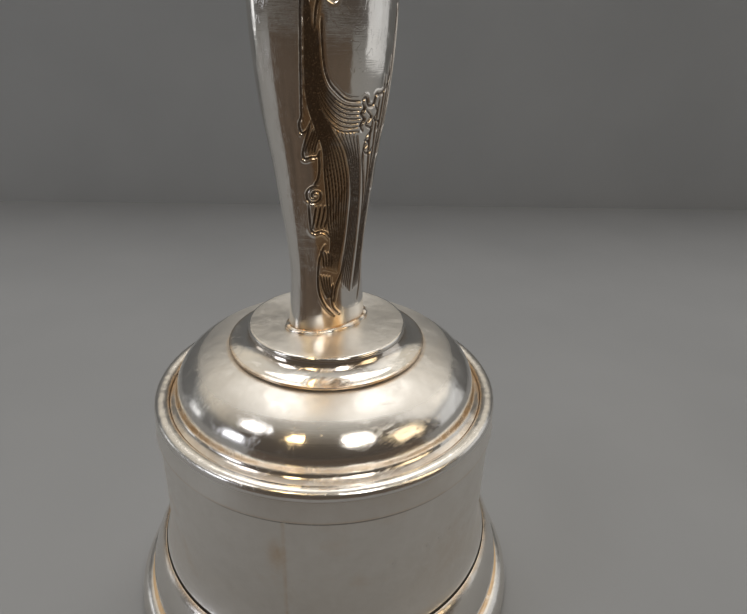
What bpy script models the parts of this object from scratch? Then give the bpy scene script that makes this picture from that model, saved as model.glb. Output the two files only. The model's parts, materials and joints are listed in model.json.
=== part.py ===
"""Silver hand-bell rattle: a hollow oval handle on a spun bell, with a clapper inside.

Metres, +Z up. The origin is the centre of the foot's resting plane, on the bell's axis.
The handle's broad faces look along -Y (front) and +Y (back).
"""
import math

import bpy
from mathutils import Matrix, Vector

MM = 0.001

# Driving dimensions, in millimetres.
GAP = 0.3                   # between soldered or clamped neighbours
SHEET = 0.7                 # rolled silver of the bell's wall
SPUN = 0.65                 # spun cap over the bell
STEPS = 40                  # segments round a turned piece

FOOT_RADIUS = 27.7          # widest part of the foot ring
FOOT_RING_HEIGHT = 3.9
FOOT_ROLL_RADIUS = 25.3     # where the foot ring starts to round over
MOULDING_TOP = 10.4
MOULDING_RADIUS = 25.65
BODY_RADIUS = 22.2          # outside of the bell's straight wall
BODY_NECK_RADIUS = 21.4     # outside of the wall's neck in the cap
BODY_FLARE_RADIUS = 23.1    # outside of the wall where the foot is soldered on
FLARE_TOP = 15.5            # where the straight wall starts to flare
BODY_LOW = 0.9
SKIRT_LOW = 29.35           # lower edge of the cap's skirt
SKIRT_RADIUS = 22.6
LEDGE_Z = 32.1              # ledge that carries the bead
BEAD_RADIUS = 0.8
BEAD_RING_RADIUS = 21.4
CROWN_Z = 39.35             # flat top of the cap
DOME_CENTRE = (10.3, 33.9)  # of the dome's oval arc, and how far it reaches out from there
DOME_REACH = 9.2
DOME_POWER = 2.15
COLLAR_TOP = 42.1
COLLAR_LIP_RADIUS = 12.6
COLLAR_TOP_RADIUS = 10.1

HANDLE_BASE = COLLAR_TOP + GAP
HANDLE_LENGTH = 65.0
HANDLE_FLATNESS = 0.62      # thickness over width
HANDLE_SHEET = 0.6
FILL_CLEARANCE = 1.3        # from the handle's outside to what fills it, across its width
PLUG_TOP = 58.0

WASHER_RADIUS = 7.0
WASHER_THICKNESS = 0.8
BOLT_RADIUS = 1.5
BOLT_TOP = 56.0
FLANGE_RADIUS = 3.0
FLANGE_THICKNESS = 0.9
HOLE_RADIUS = 1.85          # clearance hole for the bolt
EYE_WIRE = 0.6
EYE_RING = 2.0
LINK_PIVOT = 33.0           # height of the eye's bar, which the link swings on
LINK_WIRE = 0.55
LINK_BEND = 1.3             # centre line radius of the link's ends
CLAPPER_PIVOT = 30.0        # height of the link's lower bar, which the clapper swings on
STEM_WIRE = 0.5
STEM_HEAD_RADIUS = 1.15
BALL_RADIUS = 6.0
BALL_Z = 9.0
BALL_BORE = STEM_WIRE + GAP

# Handle half width at heights above its base.
HANDLE_STATIONS = [(0.0, 5.35), (4.0, 5.02), (7.5, 4.93), (11.5, 5.30), (15.5, 5.90), (20.5, 6.68),
                   (26.0, 7.72), (31.0, 8.36), (36.0, 8.70), (41.0, 8.78), (47.0, 8.55)]
POMMEL_START = 47.0         # above this the outline closes in a flattened round end
POMMEL_POWER = 2.5


def clear_scene():
    for obj in list(bpy.data.objects):
        bpy.data.objects.remove(obj, do_unlink=True)


def collection(name):
    group = bpy.data.collections.new(name)
    bpy.context.scene.collection.children.link(group)
    return group


def material(name, colour, roughness, metallic):
    mat = bpy.data.materials.new(name)
    mat.use_nodes = True
    shader = mat.node_tree.nodes["Principled BSDF"]
    shader.inputs["Base Color"].default_value = (*colour, 1.0)
    shader.inputs["Roughness"].default_value = roughness
    shader.inputs["Metallic"].default_value = metallic
    return mat


def silver(name, roughness):
    return material(name, (0.80, 0.78, 0.74), roughness, 1.0)


def add(name, data, group, mat, location=(0, 0, 0)):
    obj = bpy.data.objects.new(name, data)
    obj.location = Vector(location) * MM
    if mat:
        data.materials.append(mat)
    group.objects.link(obj)
    return obj


def arc(centre, radius, start, end, count):
    """Points of a circular arc in the (r, z) plane, angles in degrees."""
    points = []
    for i in range(count + 1):
        a = math.radians(start + (end - start) * i / count)
        points.append((centre[0] + radius * math.cos(a), centre[1] + radius * math.sin(a)))
    return points


def oval_arc(centre, radii, start, end, count, power=2.0):
    """Points of a superellipse arc in the (r, z) plane, angles in degrees within one quadrant."""
    points = []
    for i in range(count + 1):
        a = math.radians(start + (end - start) * i / count)
        c, s = math.cos(a), math.sin(a)
        points.append((centre[0] + radii[0] * math.copysign(abs(c) ** (2 / power), c),
                       centre[1] + radii[1] * math.copysign(abs(s) ** (2 / power), s)))
    return points


def turned(name, outline, group, mat, closed=True, angle=360.0, steps=STEPS, location=(0, 0, 0)):
    """A turned piece: the (r, z) outline runs down its outer side, closed, or axis to axis."""
    mesh = bpy.data.meshes.new(name)
    count = len(outline)
    edges = [(i, i + 1) for i in range(count - 1)]
    if closed:
        edges.append((count - 1, 0))
    mesh.from_pydata([(r * MM, 0.0, z * MM) for r, z in outline], edges, [])
    obj = add(name, mesh, group, mat, location)
    screw = obj.modifiers.new("turn", "SCREW")
    screw.axis = "Z"
    screw.angle = math.radians(angle)
    screw.steps = screw.render_steps = steps
    screw.use_merge_vertices = True
    screw.merge_threshold = 0.00001
    screw.use_smooth_shade = True
    return obj


def boolean(obj, other, operation):
    mod = obj.modifiers.new(operation.lower(), "BOOLEAN")
    mod.operation = operation
    mod.object = other
    mod.solver = "EXACT"
    other.hide_render = True
    other.display_type = "WIRE"


def evaluated_mesh(obj):
    depsgraph = bpy.context.evaluated_depsgraph_get()
    depsgraph.update()
    return bpy.data.meshes.new_from_object(obj.evaluated_get(depsgraph))


def handle_half_width(height):
    """Half width of the handle at a height above its base: a Catmull-Rom curve, then the pommel."""
    if height >= POMMEL_START:
        t = min(1.0, (height - POMMEL_START) / (HANDLE_LENGTH - POMMEL_START))
        return HANDLE_STATIONS[-1][1] * (1.0 - t ** POMMEL_POWER) ** (1.0 / POMMEL_POWER)
    last = len(HANDLE_STATIONS) - 1
    i = max(k for k in range(last) if HANDLE_STATIONS[k][0] <= height)
    (h1, w1), (h2, w2) = HANDLE_STATIONS[i], HANDLE_STATIONS[i + 1]
    h0, w0 = HANDLE_STATIONS[max(i - 1, 0)]
    h3, w3 = HANDLE_STATIONS[min(i + 2, last)]
    t = (height - h1) / (h2 - h1)
    m1 = (w2 - w0) / (h2 - h0) * (h2 - h1)
    m2 = (w3 - w1) / (h3 - h1) * (h2 - h1) if i + 2 <= last else 0.0
    return ((2 * t**3 - 3 * t**2 + 1) * w1 + (t**3 - 2 * t**2 + t) * m1
            + (3 * t**2 - 2 * t**3) * w2 + (t**3 - t**2) * m2)


def handle_outline(bottom, top, inset):
    """Open outline of something with the handle's shape, shrunk by inset, from top to bottom."""
    straight, round_end = 9, 6
    heights = [bottom + (min(top, POMMEL_START) - bottom) * i / straight for i in range(straight + 1)]
    if top > POMMEL_START:
        for i in range(1, round_end + 1):
            heights.append(POMMEL_START + (top - POMMEL_START) * math.sin(math.pi / 2 * i / round_end))
    points = [(max(handle_half_width(h) - inset, 0.0), HANDLE_BASE + h) for h in heights]
    return points[::-1]


# ---------------------------------------------------------------- bell

def bell_body(group):
    """Rolled wall with a neck inside the cap, flaring below to carry the foot's mouldings."""
    neck = BODY_NECK_RADIUS
    shoulder = SKIRT_LOW - GAP
    neck_top = LEDGE_Z - SPUN - 2 * GAP
    flare_z = MOULDING_TOP + GAP
    bend_centre = BODY_FLARE_RADIUS + 0.6
    flare = oval_arc((bend_centre, FLARE_TOP), (bend_centre - BODY_RADIUS, FLARE_TOP - MOULDING_TOP),
                     180, 250, 4)
    outer = [(neck, neck_top), (neck, shoulder), (BODY_RADIUS, shoulder)] + flare
    outer += [(BODY_FLARE_RADIUS, flare_z), (BODY_FLARE_RADIUS, BODY_LOW)]
    inner = [(BODY_FLARE_RADIUS - SHEET, BODY_LOW), (BODY_FLARE_RADIUS - SHEET, flare_z - GAP)]
    inner += [(r - SHEET, z - 0.2) for r, z in reversed(flare)]
    inner += [(BODY_RADIUS - SHEET, shoulder - 0.4), (neck - SHEET, shoulder + GAP)]
    inner += [(neck - SHEET, neck_top)]
    return turned("bell_body", outer + inner, group, silver("body_silver", 0.38))


def shoulder_cap(group):
    """Spun dome with a flat crown, a cove at its foot, a ledge for the bead and a skirt."""
    rise = CROWN_Z - DOME_CENTRE[1]
    dome = oval_arc(DOME_CENTRE, (DOME_REACH, rise), 90, 0, 7, DOME_POWER)
    ledge = [(19.75, 33.1), (20.25, LEDGE_Z), (SKIRT_RADIUS - 0.45, LEDGE_Z)]
    outer = [(HOLE_RADIUS, CROWN_Z)] + dome + ledge + [(SKIRT_RADIUS, SKIRT_LOW)]
    under = LEDGE_Z - SPUN
    inner_dome = oval_arc(DOME_CENTRE, (DOME_REACH - SPUN, rise - SPUN), 0, 90, 7, DOME_POWER)
    inner = [(BODY_RADIUS - 0.45, SKIRT_LOW), (BODY_RADIUS - 0.45, under), (19.6, under), (19.1, 32.8)]
    inner += inner_dome + [(HOLE_RADIUS, CROWN_Z - SPUN)]
    return turned("shoulder_cap", outer + inner, group, silver("cap_silver", 0.28))


def shoulder_bead(group):
    """Round wire soldered on the ledge between the dome and the skirt."""
    centre = (BEAD_RING_RADIUS, LEDGE_Z + GAP + BEAD_RADIUS)
    section = arc(centre, BEAD_RADIUS, 90, -270, 8)[:-1]
    return turned("shoulder_bead", section, group, silver("bead_silver", 0.2))


def foot_moulding(group):
    """Rounded band round the flared wall, over the foot ring."""
    inside = BODY_FLARE_RADIUS + GAP
    low = FOOT_RING_HEIGHT + GAP
    widest = low + 1.0
    bulge = oval_arc((inside, widest), (MOULDING_RADIUS - inside, MOULDING_TOP - widest), 90, 0, 6, 1.5)
    section = bulge + [(MOULDING_RADIUS, widest - 0.3), (MOULDING_RADIUS - 0.35, low), (inside, low)]
    return turned("foot_moulding", section, group, silver("moulding_silver", 0.22))


def foot_ring(group):
    """Base ring that the bell stands on, with a flat underside."""
    inside = BODY_FLARE_RADIUS + GAP
    low = 0.4
    reach = FOOT_RADIUS - FOOT_ROLL_RADIUS
    bulge = oval_arc((FOOT_ROLL_RADIUS, low), (reach, FOOT_RING_HEIGHT - low), 90, 0, 6, 2.4)
    section = [(inside, FOOT_RING_HEIGHT)] + bulge + [(FOOT_RADIUS - 0.5, 0.0), (inside, 0.0)]
    return turned("foot_ring", section, group, silver("foot_silver", 0.25))


# ---------------------------------------------------------------- collar and handle

def collar(group):
    """Turned collar: flat top, rounded edge, hollow side and thin lip, over the cap's crown."""
    low = CROWN_Z + GAP
    edge = arc((COLLAR_TOP_RADIUS - 0.45, COLLAR_TOP - 0.45), 0.45, 90, -10, 4)
    cove = oval_arc((COLLAR_LIP_RADIUS, COLLAR_TOP - 0.5), (COLLAR_LIP_RADIUS - 9.75, 1.65), 190, 262, 6)
    lip = [(COLLAR_LIP_RADIUS, low + 0.15), (COLLAR_LIP_RADIUS - 0.1, low)]
    section = [(HOLE_RADIUS, COLLAR_TOP)] + edge + cove + lip + [(HOLE_RADIUS, low)]
    return turned("collar", section, group, silver("collar_silver", 0.2))


def handle_shell(name, side, group):
    """One stamped half of the handle: half an oval tube, closed at the pommel."""
    outline = handle_outline(0.0, HANDLE_LENGTH, 0.0)
    start = turned(name + "_form", outline, group, None, closed=False, angle=180.0, steps=18)
    mesh = evaluated_mesh(start)
    bpy.data.objects.remove(start, do_unlink=True)
    mesh.transform(Matrix.Diagonal((1.0, HANDLE_FLATNESS, 1.0, 1.0)))
    if side < 0:
        mesh.transform(Matrix.Rotation(math.pi, 4, "Z"))
    mesh.name = name
    obj = add(name, mesh, group, silver(name + "_silver", 0.16), (0.0, side * GAP / 2, 0.0))
    wall = obj.modifiers.new("wall", "SOLIDIFY")
    wall.thickness = HANDLE_SHEET * MM
    wall.offset = -1.0
    wall.use_even_offset = False
    return obj


def handle_fill(name, bottom, top, mat, group):
    """A solid of the handle's inside shape between two heights above its base."""
    outline = handle_outline(bottom, top, FILL_CLEARANCE)
    outline = [(0.0, outline[0][1])] + [p for p in outline if p[0] > 0.01] + [(0.0, outline[-1][1])]
    start = turned(name + "_form", outline, group, None, closed=False, steps=16)
    mesh = evaluated_mesh(start)
    bpy.data.objects.remove(start, do_unlink=True)
    mesh.transform(Matrix.Diagonal((1.0, HANDLE_FLATNESS, 1.0, 1.0)))
    mesh.name = name
    return add(name, mesh, group, mat)


def neck_plug(group, cutters):
    """Threaded oval plug soldered in the handle's neck, which the eye bolt screws into."""
    plug = handle_fill("handle_neck_plug", 0.2, PLUG_TOP - HANDLE_BASE,
                       material("plug_brass", (0.78, 0.60, 0.33), 0.4, 1.0), group)
    bore = turned("plug_bore", [(0.0, PLUG_TOP + 1), (HOLE_RADIUS, PLUG_TOP + 1),
                                (HOLE_RADIUS, HANDLE_BASE - 1), (0.0, HANDLE_BASE - 1)],
                  cutters, None, closed=False, steps=20)
    boolean(plug, bore, "DIFFERENCE")
    return plug


# ---------------------------------------------------------------- clapper and its hanging

def torus(name, ring, wire, group, location, segments=24):
    """A wire ring standing in the XZ plane."""
    bpy.ops.mesh.primitive_torus_add(major_radius=ring * MM, minor_radius=wire * MM,
                                     major_segments=segments, minor_segments=8,
                                     location=Vector(location) * MM, rotation=(math.pi / 2, 0.0, 0.0))
    obj = bpy.context.object
    obj.name = name
    for owner in list(obj.users_collection):
        owner.objects.unlink(obj)
    group.objects.link(obj)
    return obj


def crown_washer(group):
    """Disc that spreads the bolt's pull under the crown."""
    top = CROWN_Z - SPUN - GAP
    low = top - WASHER_THICKNESS
    section = [(HOLE_RADIUS, top), (WASHER_RADIUS, top), (WASHER_RADIUS, low), (HOLE_RADIUS, low)]
    return turned("crown_washer", section, group, material("washer_brass", (0.74, 0.58, 0.34), 0.45, 1.0),
                  steps=32)


def eye_bolt(group, cutters):
    """Bolt from inside the crown up into the handle, with a flange and an eye below."""
    flange_top = CROWN_Z - SPUN - GAP - WASHER_THICKNESS - GAP
    flange_low = flange_top - FLANGE_THICKNESS
    outline = [(0.0, BOLT_TOP), (BOLT_RADIUS - 0.4, BOLT_TOP), (BOLT_RADIUS, BOLT_TOP - 0.5),
               (BOLT_RADIUS, flange_top), (FLANGE_RADIUS, flange_top), (FLANGE_RADIUS, flange_low),
               (0.0, flange_low)]
    bolt = turned("eye_bolt", outline, group, material("bolt_steel", (0.55, 0.54, 0.52), 0.35, 1.0),
                  closed=False, steps=24)
    eye = torus("eye_ring", EYE_RING, EYE_WIRE, cutters, (0.0, 0.0, LINK_PIVOT + EYE_RING))
    boolean(bolt, eye, "UNION")
    return bolt


def clapper_link(group):
    """Oval wire link in the YZ plane; it swings about X on the eye's bar."""
    drop = LINK_PIVOT - CLAPPER_PIVOT - LINK_BEND
    bend = 8
    points = []
    for i in range(bend + 1):
        a = math.pi * i / bend
        points.append((LINK_BEND * math.cos(a), LINK_BEND * math.sin(a)))
    for i in range(bend + 1):
        a = math.pi * (1 + i / bend)
        points.append((LINK_BEND * math.cos(a), -drop + LINK_BEND * math.sin(a)))
    curve = bpy.data.curves.new("clapper_link", "CURVE")
    curve.dimensions = "3D"
    curve.bevel_depth = LINK_WIRE * MM
    curve.bevel_resolution = 2
    spline = curve.splines.new("POLY")
    spline.points.add(len(points) - 1)
    for point, (y, z) in zip(spline.points, points):
        point.co = (0.0, y * MM, z * MM, 1.0)
    spline.use_cyclic_u = True
    return add("clapper_link", curve, group, silver("link_silver", 0.3), (0.0, 0.0, LINK_PIVOT))


def clapper_stem(group, cutters):
    """Wire with a loop at the top and a peened head under the ball; it swings about Y."""
    loop_low = -LINK_BEND
    ball = BALL_Z - CLAPPER_PIVOT
    head_top = ball - math.sqrt(BALL_RADIUS**2 - BALL_BORE**2) - GAP
    head = oval_arc((0.0, head_top - 0.15), (STEM_HEAD_RADIUS, STEM_HEAD_RADIUS * 0.55), 0, -75, 3)
    outline = [(0.0, loop_low), (STEM_WIRE, loop_low), (STEM_WIRE, head_top), (STEM_HEAD_RADIUS, head_top)]
    outline += head + [(0.0, head[-1][1])]
    stem = turned("clapper_stem", outline, group, material("stem_steel", (0.60, 0.59, 0.57), 0.35, 1.0),
                  closed=False, steps=12, location=(0.0, 0.0, CLAPPER_PIVOT))
    loop = torus("stem_loop", LINK_BEND, STEM_WIRE, cutters, (0.0, 0.0, CLAPPER_PIVOT), segments=20)
    boolean(stem, loop, "UNION")
    return stem


def clapper_ball(group, stem):
    """Drilled ball on the stem."""
    half = math.degrees(math.acos(BALL_BORE / BALL_RADIUS))
    section = arc((0.0, 0.0), BALL_RADIUS, half, -half, 12)
    ball = turned("clapper_ball", section, group, material("ball_brass", (0.72, 0.66, 0.52), 0.3, 1.0),
                  steps=20, location=(0.0, 0.0, BALL_Z - CLAPPER_PIVOT))
    ball.parent = stem
    return ball


def main():
    clear_scene()
    parts = collection("silver_bell_rattle")
    cutters = collection("cutters")
    bell_body(parts)
    shoulder_cap(parts)
    shoulder_bead(parts)
    foot_moulding(parts)
    foot_ring(parts)
    collar(parts)
    handle_shell("handle_front_shell", -1, parts)
    handle_shell("handle_back_shell", 1, parts)
    neck_plug(parts, cutters)
    handle_fill("handle_filler", PLUG_TOP - HANDLE_BASE + GAP, HANDLE_LENGTH - FILL_CLEARANCE,
                material("filler_pitch", (0.10, 0.07, 0.05), 0.7, 0.0), parts)
    crown_washer(parts)
    eye_bolt(parts, cutters)
    clapper_link(parts)
    stem = clapper_stem(parts, cutters)
    clapper_ball(parts, stem)
    bpy.context.view_layer.update()


main()
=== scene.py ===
"""Looks of the silver hand-bell rattle: fine turned silver, chased handle, wire and brass clapper."""
import json
import math

import bpy
import numpy as np
from mathutils import Matrix, Vector


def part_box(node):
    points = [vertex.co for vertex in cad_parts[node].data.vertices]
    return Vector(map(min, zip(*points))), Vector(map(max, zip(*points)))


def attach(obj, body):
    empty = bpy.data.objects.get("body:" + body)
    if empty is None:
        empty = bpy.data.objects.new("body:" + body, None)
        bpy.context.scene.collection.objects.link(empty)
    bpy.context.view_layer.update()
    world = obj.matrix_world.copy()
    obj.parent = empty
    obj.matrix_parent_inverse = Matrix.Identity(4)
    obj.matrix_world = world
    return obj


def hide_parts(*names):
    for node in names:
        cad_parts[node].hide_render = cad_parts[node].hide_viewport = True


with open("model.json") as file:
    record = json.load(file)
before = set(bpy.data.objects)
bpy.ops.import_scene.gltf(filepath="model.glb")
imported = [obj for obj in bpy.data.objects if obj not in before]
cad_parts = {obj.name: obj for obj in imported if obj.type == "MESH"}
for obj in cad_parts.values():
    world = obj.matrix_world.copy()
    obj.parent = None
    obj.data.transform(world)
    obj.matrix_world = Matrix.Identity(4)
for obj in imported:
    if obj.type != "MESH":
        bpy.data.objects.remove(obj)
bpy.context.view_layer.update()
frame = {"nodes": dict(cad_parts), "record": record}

MM = 0.001
TURNS = 320                        # segments round a turned piece
BODY, LINK, CLAPPER = "bell", "link", "clapper"

# ---- sizes, in millimetres, from the frame


def low_high(node):
    low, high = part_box(node)
    return Vector(low) / MM, Vector(high) / MM


def pivot_height(joint):
    """Height of a joint's axis above the table, in millimetres."""
    found = next(j for j in frame["record"]["behaviour"]["joints"] if j["name"] == joint)
    return found["pos_m"][2] / MM


foot_high = low_high("foot_ring")[1]
mould_low, mould_high = low_high("foot_moulding")
body_low, body_high = low_high("bell_body")
cap_low, cap_high = low_high("shoulder_cap")
bead_low = low_high("shoulder_bead")[0]
collar_low, collar_high = low_high("collar")
shell_low, shell_high = low_high("handle_front_shell")
ball_low, ball_high = low_high("clapper_ball")
stem_low, stem_high = low_high("clapper_stem")
bolt_high = low_high("eye_bolt")[1]

FOOT_R = foot_high.x
MOULD_R = mould_high.x
FLARE_R = body_high.x
SKIRT_R = cap_high.x
WALL_R = SKIRT_R - 0.4
FLARE_TOP = 15.5
BEAD_R = 21.45                     # the bead is a low roll, flatter than the frame's round wire
BEAD_WIRE = 0.92
FOOT_ROLL_R = 25.3
BOLT_HOLE_R = 1.85
COLLAR_TOP_R = 9.78
COLLAR_R = collar_high.x
HANDLE_BASE = shell_low.z
HANDLE_LENGTH = shell_high.z - shell_low.z
FLATNESS = 0.62
SHEET = 0.6
LINK_PIVOT = pivot_height("link_swing")
STEM_PIVOT = pivot_height("clapper_swing")

# Where the camera stands: its direction from the bell's axis also places the seam and wear.
CAMERA_TURN = 38.0
CAMERA_PITCH = 26.02
CAMERA_ROLL = 1.95
CAMERA_AT = Vector((-37.8, -58.0, 77.7)) * MM
CAMERA_LENS = 28.92
BACKDROP_AWAY = 0.264              # from the camera, along the floor, in metres
BACKDROP_SLANT = 0.077             # how much further off its right side stands
FRONT = math.atan2(CAMERA_AT.y, CAMERA_AT.x)


def degrees_right(angle):
    """Angle about the axis, seen from the front, in degrees to the right."""
    return FRONT + math.radians(angle)


# ---- node helpers


class Graph:
    """A material's node tree with short calls."""

    def __init__(self, name):
        self.material = bpy.data.materials.new(name)
        self.material.use_nodes = True
        self.tree = self.material.node_tree
        self.shader = self.tree.nodes["Principled BSDF"]

    def node(self, kind, inputs=(), **settings):
        made = self.tree.nodes.new(kind)
        for key, value in settings.items():
            setattr(made, key, value)
        for key, value in dict(inputs).items():
            self.put(made.inputs[key], value)
        return made

    def put(self, socket, value):
        if isinstance(value, bpy.types.NodeSocket):
            self.tree.links.new(value, socket)
        else:
            socket.default_value = value

    def surface(self, name, value):
        self.put(self.shader.inputs[name], value)

    def math(self, operation, a, b=0.0, clamp=False):
        return self.node("ShaderNodeMath", {0: a, 1: b}, operation=operation, use_clamp=clamp).outputs[0]

    def mix(self, factor, a, b):
        made = self.node("ShaderNodeMix", {}, data_type="RGBA")
        self.put(made.inputs[0], factor)
        self.put(made.inputs[6], a)
        self.put(made.inputs[7], b)
        return made.outputs[2]

    def ramp(self, value, low, high):
        """0 below low, 1 above high, straight between."""
        made = self.node("ShaderNodeMapRange", {0: value, 1: low, 2: high, 3: 0.0, 4: 1.0}, clamp=True)
        return made.outputs[0]

    def noise(self, vector, scale, detail=3.0, rough=0.5, distortion=0.0):
        inputs = {"Vector": vector, "Scale": scale, "Detail": detail, "Roughness": rough,
                  "Distortion": distortion}
        return self.node("ShaderNodeTexNoise", inputs).outputs[0]

    def scaled(self, vector, factors, turn=(0.0, 0.0, 0.0)):
        made = self.node("ShaderNodeMapping", {"Vector": vector, "Rotation": turn, "Scale": factors})
        return made.outputs[0]

    def attribute(self, name):
        return self.node("ShaderNodeAttribute", attribute_name=name).outputs["Fac"]

    def place(self):
        """Position on the object, in millimetres."""
        coords = self.node("ShaderNodeTexCoord").outputs["Object"]
        return self.scaled(coords, (1000.0, 1000.0, 1000.0))

    def round_place(self, place):
        """(angle, radius, height) of a position, for marks left by turning."""
        parts = self.node("ShaderNodeSeparateXYZ", {0: place})
        angle = self.math("ARCTAN2", parts.outputs[1], parts.outputs[0])
        square = self.math("ADD", self.math("MULTIPLY", parts.outputs[0], parts.outputs[0]),
                           self.math("MULTIPLY", parts.outputs[1], parts.outputs[1]))
        radius = self.math("SQRT", square)
        joined = self.node("ShaderNodeCombineXYZ", {0: angle, 1: radius, 2: parts.outputs[2]})
        return joined.outputs[0]


def scratches(graph, place, turns, length=0.35, density=7.0, width=0.02):
    """Fine straight hairline scratches running a few ways: 1 on a scratch, 0 off it."""
    total = 0.0
    for turn in turns:
        lines = graph.noise(graph.scaled(place, (length, density, length), turn), 1.0, 2.0, 0.6, 0.2)
        near = graph.math("ABSOLUTE", graph.math("SUBTRACT", lines, 0.5))
        line = graph.math("SUBTRACT", 1.0, graph.ramp(near, 0.0, width))
        patch = graph.ramp(graph.noise(graph.scaled(place, (0.3, 0.3, 0.3), turn), 1.0), 0.52, 0.62)
        total = graph.math("MAXIMUM", total, graph.math("MULTIPLY", line, patch))
    return total


SILVER = (0.83, 0.80, 0.755, 1.0)
SILVER_DULL = (0.70, 0.67, 0.62, 1.0)
AMBER = (0.62, 0.40, 0.19, 1.0)
# Dark brown for the cut layer: painted shade in the bell's crevices and gaps, dark patina in chased lines.
SHADE_AND_PATINA_BROWN = (0.055, 0.030, 0.016, 1.0)


def silver(name, rough, satin_rough=0.34, lines=0.5, line_scale=9.0, haze=0.06, turned=True, stain=0.3,
           dents=0.15, grime=0.9, stretch=0.0):
    """Old silver: fine lines, hairlines, haze and dents, with tarnish where it is painted, and dark brown
    along the cut layer: painted shade in the bell's crevices and gaps, dark patina in the handle's chased
    lines.
    """
    g = Graph(name)
    place = g.place()
    if turned:
        along = g.scaled(g.round_place(place), (1.1, line_scale, line_scale))
    else:
        along = g.scaled(place, (0.25, 0.25, line_scale))
    brushed = g.noise(along, 1.0, 4.0, 0.62)
    cloud = g.noise(place, 0.16, 4.0, 0.55, 0.6)
    smudge = g.noise(place, 0.45, 5.0, 0.6, 0.4)
    speck = g.noise(place, 5.5, 2.0, 0.5)
    hair = scratches(g, place, ((0.3, 0.5, 0.2), (1.2, -0.4, 0.9), (-0.7, 1.1, 2.0)))
    satin = g.attribute("satin")

    uneven = g.math("ADD", 0.45, g.ramp(smudge, 0.3, 0.6))
    stained = g.math("MULTIPLY", g.attribute("tarnish"), uneven, clamp=True)
    patches = g.math("MULTIPLY", g.ramp(cloud, 0.56, 0.78), stain)
    warm = g.math("MAXIMUM", stained, g.math("MULTIPLY", patches, 0.35), clamp=True)
    base = g.mix(g.math("MULTIPLY", g.ramp(smudge, 0.35, 0.75), 0.35), SILVER, SILVER_DULL)
    colour = g.mix(g.math("MULTIPLY", warm, 0.8), base, AMBER)
    # Painted shade: where the cut layer is set on the bell, crevices and gaps turn dark brown and less
    # metallic. In chased lines it is patina. grime sets how strong it is.
    dark = g.math("MULTIPLY", g.ramp(g.attribute("cut"), 0.35, 0.95), g.ramp(speck, 0.15, 0.45))
    colour = g.mix(g.math("MULTIPLY", dark, grime), colour, SHADE_AND_PATINA_BROWN)
    g.surface("Metallic", g.math("SUBTRACT", 1.0, g.math("MULTIPLY", dark, grime * 0.5)))
    g.surface("Base Color", colour)

    clean = g.math("ADD", rough, g.math("MULTIPLY", g.math("SUBTRACT", smudge, 0.5), haze * 2.0))
    roughness = g.math("ADD", clean, g.math("MULTIPLY", satin, satin_rough - rough))
    roughness = g.math("ADD", roughness, g.math("MULTIPLY", g.math("SUBTRACT", brushed, 0.5), 0.10 * lines))
    roughness = g.math("ADD", roughness, g.math("MULTIPLY", warm, 0.12))
    roughness = g.math("ADD", roughness, g.math("MULTIPLY", hair, 0.07), clamp=True)
    g.surface("Roughness", g.math("MAXIMUM", roughness, 0.05))
    if stretch:
        g.surface("Anisotropic", stretch)
        g.surface("Anisotropic Rotation", 0.25)
        round_z = g.node("ShaderNodeTangent", direction_type="RADIAL", axis="Z")
        g.surface("Tangent", round_z.outputs[0])

    height = g.math("MULTIPLY", brushed, lines)
    height = g.math("SUBTRACT", height, g.math("MULTIPLY", hair, 0.4))
    height = g.math("ADD", height, g.math("MULTIPLY", speck, 0.06))
    fine = g.node("ShaderNodeBump", {"Strength": 0.3, "Distance": 0.00003, "Height": height})
    wave = g.node("ShaderNodeBump", {"Strength": dents, "Distance": 0.0004, "Normal": fine.outputs[0],
                                     "Height": g.noise(place, 0.42, 2.0, 0.45)})
    g.surface("Normal", wave.outputs[0])
    return g.material


def plain_metal(name, colour, dark, rough, scale=3.0, metallic=1.0):
    """Unpolished inner metal: uneven colour, drawn marks and a little grime."""
    g = Graph(name)
    place = g.place()
    smudge = g.noise(place, scale * 0.35, 5.0, 0.62, 0.5)
    grain = g.noise(place, scale * 3.0, 3.0, 0.6)
    hair = scratches(g, place, ((0.2, 0.9, 0.4), (1.4, -0.2, 1.3)), density=9.0)
    grime = g.math("MAXIMUM", g.ramp(smudge, 0.50, 0.75), g.attribute("tarnish"))
    g.surface("Base Color", g.mix(grime, (*colour, 1.0), (*dark, 1.0)))
    g.surface("Metallic", metallic)
    roughness = g.math("ADD", rough, g.math("MULTIPLY", grime, 0.22))
    roughness = g.math("ADD", roughness, g.math("MULTIPLY", g.math("SUBTRACT", grain, 0.5), 0.15))
    g.surface("Roughness", roughness)
    height = g.math("SUBTRACT", g.math("MULTIPLY", grain, 0.6), hair)
    bump = g.node("ShaderNodeBump", {"Strength": 0.4, "Distance": 0.00005, "Height": height})
    g.surface("Normal", bump.outputs[0])
    return g.material


# ---- mesh helpers


def finish_piece(obj, material, body, slot, *nodes):
    obj.data.materials.clear()
    obj.data.materials.append(material)
    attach(obj, body)
    if nodes:
        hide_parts(*nodes)
    return obj


def mesh_object(name, points, faces, smooth=True, sharp=math.radians(50)):
    mesh = bpy.data.meshes.new(name)
    mesh.from_pydata(points, [], faces)
    mesh.update()
    if smooth:
        mesh.shade_smooth()
        mesh.set_sharp_from_angle(angle=sharp)
    obj = bpy.data.objects.new(name, mesh)
    bpy.context.scene.collection.objects.link(obj)
    return obj


def paint(obj, name, values):
    """A float for every vertex, which the materials read."""
    layer = obj.data.attributes.new(name, "FLOAT", "POINT")
    layer.data.foreach_set("value", np.asarray(values, dtype=np.float32))


def arc(centre, radii, start, end, count, power=2.0):
    """Points of a superellipse arc in the (r, z) plane, angles in degrees."""
    if isinstance(radii, (int, float)):
        radii = (radii, radii)
    points = []
    for i in range(count + 1):
        a = math.radians(start + (end - start) * i / count)
        c, s = math.cos(a), math.sin(a)
        points.append((centre[0] + radii[0] * math.copysign(abs(c) ** (2 / power), c),
                       centre[1] + radii[1] * math.copysign(abs(s) ** (2 / power), s)))
    return points


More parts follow.
